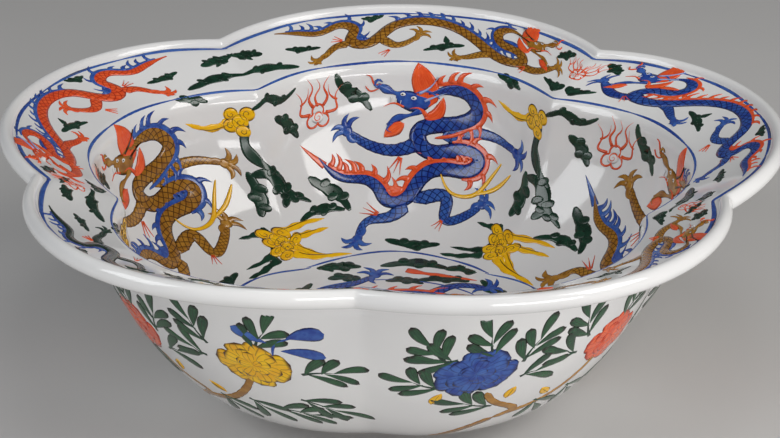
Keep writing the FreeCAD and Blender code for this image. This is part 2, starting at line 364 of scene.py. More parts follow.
class Brush:
    """Strokes of one enamel on one zone, which become one piece.

    Stroke(t, v) = spline(t) + v * half-width(t) * left normal, for v from -1 to 1, lifted from
    the glaze by layer + CROWN (1 - v^2); each is a closed ribbon with a flat underside.
    """

    def __init__(self, zone, seed):
        self.zone = zone
        self.random = np.random.default_rng(seed)
        self.grids = []

    def stroke(self, azimuth, points, half_width, shape=even, layer=0, across=5, step=1.2):
        points = [(*p, 1.0) if len(p) == 2 else tuple(p) for p in points]
        reach = sum(math.dist(a[:2], b[:2]) for a, b in zip(points, points[1:]))
        count = int(np.clip(reach / step, 7, 160))
        t, line = spline(points, count, ease=shape is oval)
        width = np.maximum(half_width * np.maximum(line[:, 2], 0) * shape(t), THINNEST)
        way = np.gradient(line[:, :2], axis=0)
        way /= np.maximum(np.linalg.norm(way, axis=1), 1e-9)[:, None]
        v = np.linspace(-1, 1, across)
        x = line[:, 0:1] - way[:, 1:2] * width[:, None] * v
        y = line[:, 1:2] + way[:, 0:1] * width[:, None] * v
        height = np.where(np.abs(v) > 0.999, -SUNK, layer * LAYER + CROWN * (1 - v ** 2))
        steps = np.hypot(*np.diff(line[:, :2], axis=0).T) / (width[1:] + width[:-1])
        run = np.concatenate([[0], np.cumsum(steps)])
        self.grids.append((azimuth, x, y, np.broadcast_to(height, x.shape), t, v, run,
                           self.random.uniform()))

    def make(self, name, material, slot):
        """One mesh of all the strokes, with a UV map (lengths in widths, place across)."""
        points, faces, uv, facts = [], [], [], []
        start = 0
        for azimuth, x, y, height, t, v, run, tone in self.grids:
            n, m = x.shape
            points.append(self.zone.lifted(azimuth, x, y, height).reshape(-1, 3))
            index = np.arange(n * m).reshape(n, m) + start
            near, far = index[:-1], index[1:]
            quads = np.stack([near, far, np.roll(far, -1, 1), np.roll(near, -1, 1)], -1)
            faces += quads.reshape(-1, 4).tolist()
            faces += [index[0].tolist(), index[-1, ::-1].tolist()]
            uv.append(np.stack([np.repeat(run[:, None], m, 1), np.repeat((v[None] + 1) / 2, n, 0)], -1))
            facts.append(np.stack([np.repeat(t[:, None], m, 1), np.repeat(v[None], n, 0),
                                   np.full((n, m), tone)], -1))
            start += n * m
        piece = make_mesh(name, np.vstack(points), faces)
        mesh = piece.data
        corner = np.zeros(len(mesh.loops), np.int32)
        mesh.loops.foreach_get("vertex_index", corner)
        place = np.vstack([g.reshape(-1, 2) for g in uv])[corner]
        mesh.uv_layers.new(name="UVMap").data.foreach_set("uv", place.astype(np.float32).ravel())
        attribute = mesh.attributes.new("stroke", "FLOAT_VECTOR", "POINT")
        values = np.vstack([g.reshape(-1, 3) for g in facts])
        attribute.data.foreach_set("vector", values.astype(np.float32).ravel())
        mesh.materials.append(material)
        return piece


class Drawing:
    """Marks made of strokes; what a stroke does is up to the class that inherits these."""

    def dot(self, enamel, x, y, radius, layer=0):
        """A disc: an oval stroke as wide as it is long."""
        self.stroke(enamel, [(x - radius, y), (x, y), (x + radius, y)], radius, oval, layer=layer, step=0.6)

    def ring(self, enamel, x, y, radius, half_width, layer=0, turns=1.04):
        """A line round a circle, its points at radius (cos a, sin a)."""
        a = np.linspace(0, 2 * math.pi * turns, 10)
        points = np.stack([x + radius * np.cos(a), y + radius * np.sin(a)], 1)
        self.stroke(enamel, points, half_width, layer=layer, step=0.9, across=3)

    def scroll(self, enamel, x, y, radius, way=1, start=0.0, half_width=0.45, layer=4, turns=1.4):
        """A spiral line that winds inwards: the radius falls evenly with the angle."""
        a = np.linspace(0, 1, 9)
        angle = math.radians(start) + way * a * turns * 2 * math.pi
        points = np.stack([x + radius * (1 - 0.85 * a) * np.cos(angle),
                           y + radius * (1 - 0.85 * a) * np.sin(angle)], 1)
        self.stroke(enamel, points, half_width, brushed, layer=layer, step=0.9, across=3)


class Picture(Drawing):
    """The painting of one zone: strokes in several enamels, which become one piece of each.

    Turning azimuth and mirror between motifs sets each down on the next lobe.
    """

    def __init__(self, name, zone, seed):
        self.name = name
        self.zone = zone
        self.seed = seed
        self.azimuth = 0.0
        self.mirror = 1
        self.brushes = {}

    def turn_to(self, azimuth, mirror=1):
        self.azimuth = azimuth
        self.mirror = mirror
        return self

    def stroke(self, enamel, points, half_width, shape=even, **more):
        if enamel not in self.brushes:
            self.brushes[enamel] = Brush(self.zone, self.seed + len(self.brushes))
        placed = [(p[0] * self.mirror,) + tuple(p[1:]) for p in points]
        self.brushes[enamel].stroke(self.azimuth, placed, half_width, shape, **more)

    def make(self):
        for enamel, brush in self.brushes.items():
            brush.make(f"{self.name}_{enamel}", enamel_material(enamel), ENAMELS[enamel][0])


class Placed(Drawing):
    """A drawing frame of a motif's own, set down on a picture turned, scaled or mirrored."""

    def __init__(self, on, x, y, turn=0.0, size=1.0, mirror=1):
        self.on = on
        self.x = x
        self.y = y
        self.size = size
        self.mirror = mirror
        self.cos = size * math.cos(math.radians(turn))
        self.sin = size * math.sin(math.radians(turn))

    def stroke(self, enamel, points, half_width, shape=even, **more):
        placed = []
        for x, y, *width in points:
            x *= self.mirror
            placed.append((self.x + x * self.cos - y * self.sin,
                           self.y + x * self.sin + y * self.cos, *width))
        self.on.stroke(enamel, placed, half_width * self.size, shape, **more)


# ------------------------------------------------------------------------ shaders

class Value:
    """A socket whose arithmetic adds Math nodes."""

    def __init__(self, shader, socket):
        self.shader = shader
        self.socket = socket

    def math(self, operation, *others):
        inputs = dict(enumerate((self,) + others))
        return self.shader.node("ShaderNodeMath", {"operation": operation}, inputs)

    def __add__(self, other):
        return self.math("ADD", other)

    __radd__ = __add__

    def __mul__(self, other):
        return self.math("MULTIPLY", other)

    __rmul__ = __mul__

    def __sub__(self, other):
        return self.math("SUBTRACT", other)

    def __rsub__(self, other):
        return self.math("MULTIPLY_ADD", -1.0, other)

    def __abs__(self):
        return self.math("ABSOLUTE")

    def sine(self):
        return self.math("SINE")

    def at_most(self, other):
        return self.math("MINIMUM", other)

    def at_least(self, other):
        return self.math("MAXIMUM", other)

    def step(self, low, high):
        """0 below low, 1 above high, smooth between."""
        return self.shader.node("ShaderNodeMapRange", {"interpolation_type": "SMOOTHSTEP"},
                                {0: self, 1: low, 2: high, 3: 0.0, 4: 1.0})


class Shader:
    """One material: a Principled surface and the nodes that feed it."""

    def __init__(self, name):
        self.material = bpy.data.materials.new(name)
        self.material.use_nodes = True
        self.tree = self.material.node_tree
        self.surface = self.tree.nodes["Principled BSDF"]

    def node(self, kind, settings, inputs, output=0):
        node = self.tree.nodes.new(kind)
        for key, value in settings.items():
            setattr(node, key, value)
        self.feed(node, inputs)
        return Value(self, node.outputs[output])

    def feed(self, node, inputs):
        for key, value in inputs.items():
            if isinstance(value, Value):
                self.tree.links.new(value.socket, node.inputs[key])
            else:
                node.inputs[key].default_value = value

    def mix(self, factor, first, second):
        return self.node("ShaderNodeMix", {"data_type": "RGBA"}, {0: factor, 6: first, 7: second}, 2)

    def split(self, vector):
        parts = self.tree.nodes.new("ShaderNodeSeparateXYZ")
        self.tree.links.new(vector.socket, parts.inputs[0])
        return [Value(self, socket) for socket in parts.outputs]

    def place(self):
        return self.node("ShaderNodeTexCoord", {}, {}, "Object")

    def noise(self, vector, scale, detail=2.0, roughness=0.5):
        return self.node("ShaderNodeTexNoise", {},
                         {"Vector": vector, "Scale": scale, "Detail": detail, "Roughness": roughness}, "Fac")

    def stretched(self, vector, scale):
        return self.node("ShaderNodeVectorMath", {"operation": "MULTIPLY"}, {0: vector, 1: scale})

    def bump(self, height, distance, strength=1.0):
        return self.node("ShaderNodeBump", {}, {"Height": height, "Distance": distance, "Strength": strength})

    def finish(self, **inputs):
        self.feed(self.surface, {key.replace("_", " "): value for key, value in inputs.items()})
        return self.material


def colour(prop):
    """A colour of the settings, with an alpha of 1."""
    return tuple(getattr(bpy.context.scene.punch_bowl, prop)) + (1.0,)


BLUES = ("blue_wash", "blue", "blue_edge")
REDS = ("red_wash", "red", "red_edge")
GREENS = ("green_wash", "green", "line")
YELLOWS = ("yellow", "yellow_deep", "brown_line")
OCHRES = ("ochre", "ochre_deep", "brown_line")

# Slot of the record, colours (washed, deep, edge), the |v| where the edge begins, pattern
ENAMELS = {
    "blue": ("enamel_blue", BLUES, 0.62, "wash"),
    "blue_scales": ("enamel_blue", BLUES, 0.60, "scales"),
    "blue_petal": ("enamel_blue", BLUES, 0.66, "petal"),
    "blue_line": ("enamel_blue", ("blue_wash", "blue", "blue"), 0.7, "wash"),
    "horn": ("enamel_blue", ("blue_pale", "blue_pale", "blue_wash"), 0.6, "wash"),
    "red": ("enamel_red", REDS, 0.75, "streaks"),
    "red_scales": ("enamel_red", REDS, 0.70, "scales"),
    "red_petal": ("enamel_red", REDS, 0.66, "petal"),
    "green": ("enamel_green", GREENS, 0.80, "wash"),
    "green_scales": ("enamel_green", GREENS, 0.74, "scales"),
    "leaf": ("enamel_green", ("leaf_light", "green_wash", "line"), 0.56, "petal"),
    "yellow": ("enamel_yellow", YELLOWS, 0.76, "streaks"),
    "yellow_petal": ("enamel_yellow", YELLOWS, 0.70, "petal"),
    "ochre": ("enamel_brown", OCHRES, 0.72, "wash"),
    "ochre_scales": ("enamel_brown", OCHRES, 0.72, "scales"),
    "brown": ("enamel_brown", ("brown_line",) * 3, 0.9, "wash"),
    "line": ("enamel_brown", ("line",) * 3, 0.9, "wash"),
    "white": ("clear_glaze", ("porcelain",) * 3, 0.9, "wash"),
}


def enamel_material(enamel):
    """Enamel laid on with a brush.

    Its depth varies with a soft noise and from stroke to stroke, and it is darkest at the
    stroke's edges, |v| towards 1.  Scales are two crossing families of lines
    |sin(pi (a + b))|, |sin(pi (a - b))|; streaks are noise drawn out along the stroke; a petal
    has fine veins |sin(2 pi v)| and is dark round its tip, where t nears 1, too.
    """
    made = bpy.data.materials.get("enamel_" + enamel)
    if made:
        return made
    _, colours, edge_from, pattern = ENAMELS[enamel]
    pale, deep, edge = [colour(name) for name in colours]
    s = Shader("enamel_" + enamel)
    t, v, tone = s.split(s.node("ShaderNodeAttribute", {"attribute_name": "stroke"}, {}, "Vector"))
    wash = s.noise(s.place(), 230.0, 3.0, 0.6)
    depth = (wash.step(0.3, 0.7) * 0.55 + tone * 0.45)
    if pattern == "streaks":
        uv = s.node("ShaderNodeUVMap", {"uv_map": "UVMap"}, {})
        hairs = s.noise(s.stretched(uv, (0.6, 9.0, 1.0)), 2.0, 2.0)
        depth = hairs.step(0.35, 0.65) * 0.6 + depth * 0.5
    face = s.mix(depth.at_most(1.0), pale, deep)
    if pattern == "scales":
        along, across, _ = s.split(s.node("ShaderNodeUVMap", {"uv_map": "UVMap"}, {}))
        first = abs(((along * 2.0 + across * 2.0) * math.pi).sine())
        second = abs(((along * 2.0 - across * 2.0) * math.pi).sine())
        lines = 1.0 - first.at_most(second).step(0.12, 0.42)
        face = s.mix(lines * 0.9, face, edge)
    rim = abs(v).step(edge_from, 1.0)
    if pattern == "petal":
        veins = 1.0 - abs((v * 2.0 * math.pi).sine()).step(0.05, 0.45)
        face = s.mix(veins * 0.55, face, edge)
        rim = rim.at_least(t.step(0.80, 0.97))
    return s.finish(Base_Color=s.mix(rim, face, edge), Roughness=0.16, IOR=1.5)


def glaze_material():
    """White porcelain under a clear glossy glaze, very faintly uneven."""
    s = Shader("clear_glaze")
    place = s.place()
    cloud = s.noise(place, 14.0, 2.0)
    white = s.mix(cloud.step(0.3, 0.7), colour("porcelain"), colour("porcelain_shade"))
    swell = s.noise(place, 34.0, 1.0)
    pits = s.noise(place, 900.0, 1.0)
    relief = s.bump(swell + pits * 0.03, 0.0006, 0.35)
    return s.finish(Base_Color=white, Roughness=0.07, IOR=1.5, Normal=relief)


def clay_material():
    """Unglazed fired clay of the foot's seat: matt, slightly warm and grainy."""
    s = Shader("porcelain_body")
    grain = s.noise(s.place(), 700.0, 3.0)
    return s.finish(Base_Color=s.mix(grain, (0.80, 0.74, 0.64, 1), (0.66, 0.57, 0.45, 1)), Roughness=0.75,
                    Normal=s.bump(grain, 0.0002, 0.6))


# ------------------------------------------------------------------------ motifs

def along(line, share):
    """Place (x, y), direction (dx, dy) and width at a share of a line's length."""
    _, path = spline([(*p, 1.0) if len(p) == 2 else tuple(p) for p in line], 121)
    i = int(np.clip(share * 120, 1, 119))
    way = path[i + 1, :2] - path[i - 1, :2]
    way /= np.linalg.norm(way)
    return path[i, :2], way, path[i, 2]


def beside(line, side, distance, first, last, count=9):
    """A line that follows another at a distance to its side, between two shares of its length."""
    points = []
    for share in np.linspace(first, last, count):
        place, way, width = along(line, share)
        points.append(tuple(place + side * distance * width * np.array([-way[1], way[0]])))
    return points


def flames(draw, enamel, line, side, distance, reach, count, first=0.03, last=0.97, half_width=1.5):
    """A fringe: a band beside a line and flames on it that lean towards the line's end."""
    draw.stroke(enamel, beside(line, side, distance, first, last, 5 + count // 2), half_width * 1.5,
                brushed, layer=1)
    for k in range(count):
        share = first + (last - first) * (k + 0.5) / count
        place, way, width = along(line, share)
        out = side * np.array([-way[1], way[0]])
        long = reach * (0.9 + 0.13 * (k * 7 % 5))
        root = place + out * distance * width
        middle = root + out * long * 0.45 + way * long * 0.10
        tip = root + out * long * 0.85 + way * long * 0.75
        draw.stroke(enamel, [tuple(root), tuple(middle), tuple(tip)], half_width * 1.6, taper,
                    layer=2, across=4)


def claw(draw, enamel, x, y, heading, size):
    """A palm with four hooked talons spread round its heading and one behind."""
    hand = Placed(draw, x, y, heading, size)
    hand.dot(enamel, 0, 0, 2.8, layer=2)
    for angle in (-62, -22, 20, 60, 165):
        a = math.radians(angle)
        b = math.radians(angle + (70 if angle > 0 else -70))
        hand.stroke(enamel, [(1.2 * math.cos(a), 1.2 * math.sin(a)), (5.0 * math.cos(a), 5.0 * math.sin(a)),
                             (6.4 * math.cos(a) + 3.4 * math.cos(b), 6.4 * math.sin(a) + 3.4 * math.sin(b))],
                    1.7, talon, layer=2)


def talon(t):
    """Thick for most of its length, then a point: (1 - t)^0.45 with a swelling."""
    return (1 - t) ** 0.45 * (0.78 + 0.3 * np.sin(math.pi * t))


def leg(draw, enamel, points, heading, half_width=3.0, size=1.0):
    """A scaled leg that narrows towards its claw."""
    widths = np.linspace(1.55, 0.62, len(points))
    draw.stroke(enamel + "_scales", [(*p, w) for p, w in zip(points, widths)], half_width, layer=1)
    claw(draw, enamel, points[-1][0], points[-1][1], heading, size)


def tuft(draw, enamel, x, y, heading, size=1.0):
    """Three fine hairs."""
    spot = Placed(draw, x, y, heading, size)
    for lift in (-3.2, 0, 3.2):
        spot.stroke(enamel, [(0, lift * 0.2), (4.5, lift * 0.6), (8.5, lift)], 0.7, taper, layer=3, across=3)


def dragon_head(draw, skin, horn, x, y, turn=0.0, size=1.0):
    """A dragon's head looking to the left: mane, skull, snout, jaw, eyes, horns, beard, whiskers."""
    head = Placed(draw, x, y, turn, size)
    for lean in (-3.6, 3.6, 0):
        head.stroke("red", [(9 + lean * 0.3, -2), (9 + lean, 6), (7 + lean, 13), (4, 22)], 3.6,
                    plume, layer=2)
    head.stroke("red", [(8, -8), (13, -7), (17, -1), (18, 4)], 3.8, plume, layer=2)
    head.stroke(skin, [(3, 5), (9, 6.5), (16, 3)], 0.9, brushed, layer=4)
    head.stroke(skin, [(11, 1), (5, 0), (-3, 2), (-7, 4)], 5.8, oval, layer=4)
    head.stroke(skin, [(-3, 3.5), (-9, 5.5), (-14, 8), (-17, 9.8)], 2.7, snub, layer=5)
    head.stroke(skin, [(-16, 7.6), (-18.5, 10.5), (-16.6, 12.6), (-14.4, 11.2)], 0.9, brushed, layer=6)
    head.stroke(skin, [(6, -4), (0, -7), (-6, -8.5), (-11.5, -12.4)], 2.2, snub, layer=4)
    head.stroke(skin, [(-9, -11), (-11.5, -15), (-9, -16.4)], 1.1, taper, layer=5)
    head.stroke("red", [(-2.5, -11.5), (-7, -14), (-13, -19)], 4.2, leaf, layer=3)
    head.stroke("red", [(-3, -2.5), (-9, -0.5), (-14, -2.5)], 0.9, taper, layer=3)
    for ex, ey, er in ((-3.6, 4.4, 1.5), (2.2, 2.4, 1.6)):
        head.dot("white", ex, ey, er, layer=6)
        head.ring(skin, ex, ey, er, 0.7, layer=7)
        head.dot("line", ex - 0.3, ey, er * 0.42, layer=7)
    head.scroll(skin, -14.2, 8.6, 1.5, half_width=0.5, layer=7)
    head.stroke("red", [(9, -7), (5, -3), (0, -3.5)], 1.5, taper, layer=5)
    for k in range(3):
        head.stroke("white", [(-4.5 - 2.6 * k, 1.0 + 1.0 * k), (-5.0 - 2.6 * k, -1.4 + 0.7 * k)], 0.6, taper,
                    layer=6, across=3)
    head.stroke(horn, [(5, 5), (11, 9), (15, 15)], 1.0, taper, layer=7)
    head.stroke(horn, [(8, 1), (14, 4), (20, 6.5)], 1.0, taper, layer=7)
    head.stroke("red", [(-15, 10), (-19, 10.5), (-20.5, 14.5), (-23, 15.5)], 0.55, brushed, layer=6, across=3)
    head.stroke("red", [(-16, 8), (-21, 6.5), (-23.5, 9.5)], 0.55, brushed, layer=6, across=3)


def plume(t):
    """Full near its root, pointed at the tip: a power of sin(pi (0.22 + 0.78 t))."""
    return np.sin(math.pi * np.clip(0.22 + 0.78 * t, 0, 1)) ** 0.8 * np.minimum(1, 5 * t + 0.2)


def snub(t):
    """Full, pinched, full again, narrower at its end: a cosine of 3 pi t."""
    return 0.72 + 0.28 * np.cos(3 * math.pi * t)


def cloud(draw, points, half_width, enamel="green"):
    """A drifting cloud: a lumpy ribbon with darker curls on it."""
    draw.stroke(enamel, points, half_width, cloudy)
    for share, lift in ((0.34, 0.45), (0.58, -0.5), (0.74, 0.3)):
        place, way, _ = along(points, share)
        across = np.array([-way[1], way[0]])
        x, y = place + across * half_width * lift
        draw.dot(enamel, x, y, half_width * 0.72, layer=1)
        draw.scroll("line", x, y, half_width * 0.42, 1 if lift > 0 else -1, 60 * lift, 0.3, 2, 0.9)


def yellow_cloud(draw, x, y, tails, size=1.0, mirror=1, turn=0.0):
    """A cloud with a scrolled head of rounded lobes and long tails that flow to one side."""
    spot = Placed(draw, x, y, turn, size, mirror)
    for tail in tails:
        spot.stroke("yellow", tail, 3.4, trailing)
        spot.stroke("brown", beside(tail, 1, 0.9, 0.08, 0.7, 5), 0.35, brushed, layer=3, across=3)
    for lx, ly, lr in ((-4.2, 4.6, 4.2), (-5.4, -1.6, 4.4), (0.4, -5.4, 4.2), (4.6, 4.2, 4.5), (0, 0, 4.8)):
        spot.dot("yellow", lx, ly, lr, layer=1)
        spot.ring("brown", lx, ly, lr * 0.86, 0.38, layer=2, turns=0.7)
        spot.scroll("brown", lx, ly, lr * 0.5, 1 if lx < 0 else -1, 50 * lx, 0.4, 3, 1.0)


def trailing(t):
    """A wavering tail: (1 - t)^0.55 times a slow wave, and never quite nothing."""
    return (1 - t) ** 0.55 * (0.86 + 0.20 * np.sin(5.5 * math.pi * t)) + 0.05


def pearl(draw, x, y, enamel="red", size=1.0):
    """A flaming pearl drawn in line: three lobes round a spiral, and wavering flames above."""
    spot = Placed(draw, x, y, 0.0, size)
    for angle in (90, 210, 330):
        a = math.radians(angle)
        spot.ring(enamel, 3.6 * math.cos(a), 3.6 * math.sin(a), 3.4, 0.75, layer=1)
    spot.dot("white", 0, 0, 3.6, layer=2)
    spot.scroll(enamel, 0, 0, 3.0, half_width=0.75)
    for side in (-1, 1):
        spot.stroke(enamel, [(4.5 * side, 2), (11 * side, 3.5), (10 * side, 9), (14 * side, 16)], 1.2, taper,
                    layer=1, across=3)
        spot.stroke(enamel, [(3 * side, 6), (5.5 * side, 11), (3.5 * side, 15), (7 * side, 22)], 1.2, taper,
                    layer=1, across=3)
        spot.stroke(enamel, [(11 * side, 8), (7 * side, 11), (6 * side, 17)], 0.9, taper, layer=1, across=3)
    spot.stroke(enamel, [(0, 6), (-1.6, 12), (1, 16), (-1, 21)], 1.0, taper, layer=1, across=3)


WALL_SPINE = [(10, 97, .62), (20, 100, .8), (32, 99, .9), (37.5, 91.5, 1), (30, 84, 1), (15, 80.5, 1.02),
              (5, 75.5, 1.05), (8, 67.5, 1.05), (18, 66, 1), (31, 69, 1), (40, 65.5, 1), (36, 59.5, 1),
              (25, 57.5, 1), (11, 54.5, 1), (4.5, 46, .98), (-1.5, 37.5, .95), (-9, 37, .9), (-14, 44, .82),
              (-21, 50, .72), (-32, 52, .58), (-42, 58, .44), (-49, 66, .25)]
TAIL_FLAME = [(-45, 61), (-53, 68), (-61, 75.5)]


def wall_dragon(draw, skin, fins, horn):
    """A dragon that winds down the wall, its head at the top looking left."""
    flames(draw, fins, WALL_SPINE, 1, 4.4, 6.4, 9, 0.03, 0.22)
    flames(draw, fins, WALL_SPINE, 1, 4.6, 5.0, 5, 0.43, 0.56)
    flames(draw, fins, WALL_SPINE, -1, 4.6, 6.0, 9, 0.50, 0.76)
    flames(draw, fins, WALL_SPINE, -1, 4.4, 6.6, 11, 0.72, 0.97)
    draw.stroke(fins, TAIL_FLAME, 2.2, taper, layer=1)
    draw.stroke(fins, [(14, 73.5), (24, 76), (33, 80.5)], 1.3, brushed, layer=5)
    leg(draw, skin, [(7, 71), (-6, 66), (-22, 70), (-33, 78)], 130, 3.2, 1.15)
    leg(draw, skin, [(18, 74), (38, 79.5), (52, 79), (64, 75)], -15, 2.9, 1.15)
    leg(draw, skin, [(0, 35), (-8, 27), (-19, 25), (-24, 14)], -110, 3.2, 1.15)
    leg(draw, skin, [(4, 37), (22, 40), (21.5, 28), (36, 35), (43, 42)], 40, 3.0, 1.15)
    draw.stroke(skin + "_scales", WALL_SPINE, 4.6, layer=3)
    for points in ([(18, 54), (24, 44.5), (36, 45), (45, 54), (54, 67)], [(36, 45.5), (50, 52), (61, 63)]):
        draw.stroke("yellow", points, 1.3, brushed, layer=4)
    tuft(draw, "red", -4, 62, -110, 1.1)
    tuft(draw, "red", -14, 29, 150, 1.1)
    tuft(draw, "red", 20, 27, -120, 0.8)
    dragon_head(draw, skin, horn, 0, 92)


def wall_clouds(draw):
    """Clouds and the flaming pearl round a wall dragon, and one pair of clouds at each notch."""
    pearl(draw, -50, 88)
    cloud(draw, [(-40, 110), (-34, 100), (-27, 96), (-20, 88)], 4.2)
    cloud(draw, [(-55, 57), (-46, 50), (-36, 43), (-29, 33)], 4.4)
    cloud(draw, [(-60, 34), (-48, 37), (-32, 34)], 3.6)
    cloud(draw, [(73, 69), (72, 57), (63, 42)], 5.0)
    cloud(draw, [(-9, 12), (6, 8.5), (20, 11.5)], 3.8)
    cloud(draw, [(49, 114), (58, 112), (65, 110)], 3.4)
    cloud(draw, [(-79, 95), (-70, 89), (-62, 80)], 4.0)
    cloud(draw, [(-95, 66), (-86, 67), (-74, 57), (-62, 48)], 4.8)
    cloud(draw, [(-96, 103), (-84, 107), (-74, 103), (-64, 107)], 3.0)
    cloud(draw, [(80, 45), (88, 50), (97, 43)], 4.0)
    draw.stroke("green", [(84, 96), (79, 82), (84, 72), (91, 64)], 4.4, cloudy)
    yellow_cloud(draw, 80, 97, [[(-4, 1), (-16, -2), (-30, 3)]], 1.0)
    draw.stroke("green", [(60, 33), (48, 31), (41, 31)], 3.2, trailing)
    draw.stroke("green", [(56, 22), (42, 14), (26, 11)], 3.0, trailing)
    yellow_cloud(draw, 60, 26, [[(2, 5), (18, 6), (33, 5)], [(4, -4), (8, -14), (12, -21)]], 1.05)
    draw.stroke("green", [(-72, 13), (-82, 6), (-90, 5)], 4.0, trailing)
    yellow_cloud(draw, -68, 20, [[(2, 6), (14, 5), (27, 5)], [(4, -4), (16, -10), (42, -16)]], 1.0)


LEDGE_SPINE = [(-62, 30, .62), (-53, 32.5, .8), (-46.5, 27.5, .95), (-50, 20, 1), (-60, 17.5, 1),
               (-64, 12.5, 1), (-57, 8.5, 1), (-46, 10.5, 1.1), (-35, 19, 1.05), (-20, 28.5, 1), (0, 31, 1),
               (12, 26, 1), (19, 17, 1.05), (26, 12.5, 1.1), (33, 17, 1.05), (32, 25, .95), (40, 30, .85),
               (50, 26, .72), (62, 28, .55), (80, 33, .28)]


def ledge_dragon(draw, skin, fins, horn):
    """A long dragon that fills one lobe of the ledge, its head at the left."""
    flames(draw, fins, LEDGE_SPINE, 1, 3.4, 4.6, 12, 0.28, 0.58, 1.1)
    flames(draw, fins, LEDGE_SPINE, 1, 3.4, 4.6, 10, 0.66, 0.97, 1.1)
    flames(draw, fins, LEDGE_SPINE, 1, 3.2, 4.0, 5, 0.03, 0.18, 1.0)
    draw.stroke(fins, [(-50, 24), (-58, 21.5), (-52, 17), (-44, 18)], 2.0, brushed, layer=1)
    leg(draw, skin, [(-60, 9), (-72, 8), (-82, 13), (-89, 18)], 160, 2.4, 0.85)
    leg(draw, skin, [(-46, 11), (-38, 9), (-30, 5), (-25, 3.5)], -10, 2.3, 0.85)
    leg(draw, skin, [(17, 17), (8, 11), (2, 14), (-3, 20)], 120, 2.3, 0.85)
    leg(draw, skin, [(34, 14), (42, 12), (47, 6), (50, 4)], -40, 2.3, 0.85)
    draw.stroke(skin + "_scales", LEDGE_SPINE, 3.7, layer=3)
    tuft(draw, "red", -66, 8, -40, 0.7)
    tuft(draw, "red", 12, 7, -50, 0.7)
    tuft(draw, "red", 38, 17, 20, 0.7)
    dragon_head(draw, skin, horn, -73, 26, 0.0, 0.74)


def ledge_clouds(draw):
    """Clouds and the small flaming pearl round a ledge dragon."""
    pearl(draw, -106, 20, size=0.62)
    cloud(draw, [(-103, 34), (-96, 30), (-88, 25)], 3.0)
    cloud(draw, [(-100, 10), (-92, 5), (-81, 7)], 3.4)
    cloud(draw, [(-28, 14), (-19, 12), (-6, 7)], 3.0)
    draw.stroke("green", [(-19, 12), (-17, 20)], 2.2, cloudy)
    cloud(draw, [(17, 36), (23, 33), (29, 34)], 2.6)
    cloud(draw, [(50, 14), (60, 15), (72, 19)], 2.6)
    cloud(draw, [(88, 21), (98, 25), (110, 30)], 3.2)
    cloud(draw, [(62, 2), (80, 8), (96, 12), (106, 12)], 3.4)
    cloud(draw, [(112, 32), (117, 26), (119, 20)], 3.0)


FLOOR_CLOUDS = [
    [(-62, 22), (-52, 36), (-44, 52)], [(-10, 76), (8, 80), (26, 74)], [(62, 26), (56, 42), (44, 60)],
    [(-66, -10), (-62, -30), (-48, -46)], [(-24, -66), (-4, -72), (18, -66)],
    [(38, -56), (54, -44), (64, -24)],
    [(10, 62), (26, 64), (38, 60)], [(-40, 66), (-30, 72), (-20, 74)], [(-14, -38), (10, -50), (24, -44)],
    [(-50, 64), (-42, 70), (-34, 66)], [(-36, 58), (-26, 62), (-18, 58)], [(-6, 60), (4, 62), (14, 58)],
    [(24, 74), (36, 72), (48, 64)]]
FLOOR_SPINE = [(-8, 16, .7), (6, 22, .9), (20, 14, 1), (20, -6, 1), (4, -18, 1), (-18, -14, 1), (-32, 4, 1),
               (-28, 28, 1), (-8, 42, 1), (18, 44, .95), (38, 30, .85), (50, 8, .7), (46, -16, .5),
               (34, -34, .3)]


def leaf_at(draw, x, y, heading, length=18.0, half_width=2.9, enamel="leaf"):
    """One leaf from its stalk, slightly bowed, with a fine vein."""
    spot = Placed(draw, x, y, heading)
    spot.stroke(enamel, [(0, 0), (length * 0.5, length * 0.05), (length, 0)], half_width, club,
                layer=1, across=7)


def spray(draw, x, y, heading, pairs=2, length=18.0):
    """A stem with leaves in pairs and one at its tip."""
    spot = Placed(draw, x, y, heading)
    gap = length * 0.45
    spot.stroke("green", [(0, 0), (gap * pairs * 0.5, 0.9), (gap * pairs, 0)], 1.1, taper)
    for k in range(pairs):
        for side in (-1, 1):
            leaf_at(spot, gap * (k + (0.15 if side > 0 else 0.35)), 0, side * 38, length * (1 - 0.12 * k))
    leaf_at(spot, gap * pairs - 1, 0, 4, length)


def peony(draw, enamel, x, y, radius, squash=0.9, turn=0.0):
    """A full flower: rings of rounded petals, each ring smaller and above the one before."""
    spot = Placed(draw, x, y, turn)
    layer = 1
    rings = ((7, .22, 1.0, .40, 0), (6, .14, .78, .34, 28), (5, .04, .55, .27, 5), (3, .0, .34, .19, 30))
    for count, inner, outer, width, shift in rings:
        for k in range(count):
            a = math.radians(360 * k / count + shift + 7 * math.sin(2.4 * k))
            far = radius * outer * (1 + 0.14 * math.sin(3.1 * k + shift))
            near = radius * inner
            line = [(r * math.cos(b), squash * r * math.sin(b)) for r, b in ((near, a), (0.6 * far, a + 0.06),
                                                                             (far, a))]
            spot.stroke(enamel + "_petal", line, radius * width, petal, layer=layer, across=7)
        layer += 1


def petal(t):
    """Widens as a quarter sine and closes with the quarter circle of its tip."""
    widening = np.clip(np.sin(math.pi * 0.5 * np.minimum(1, 1.25 * t + 0.12)), 0, 1)
    return widening * np.sqrt(np.clip(1 - np.clip((t - 0.72) / 0.28, 0, 1) ** 2, 0, 1))


def bud(draw, x, y, heading, length=10.0):
    """A yellow bud with a brown vein."""
    spot = Placed(draw, x, y, heading)
    spot.stroke("yellow", [(0, 0), (length * 0.5, 0.4), (length, 0)], 3.0, leaf, layer=1)
    spot.stroke("brown", [(1, 0), (length * 0.8, 0.5)], 0.4, taper, layer=3, across=3)


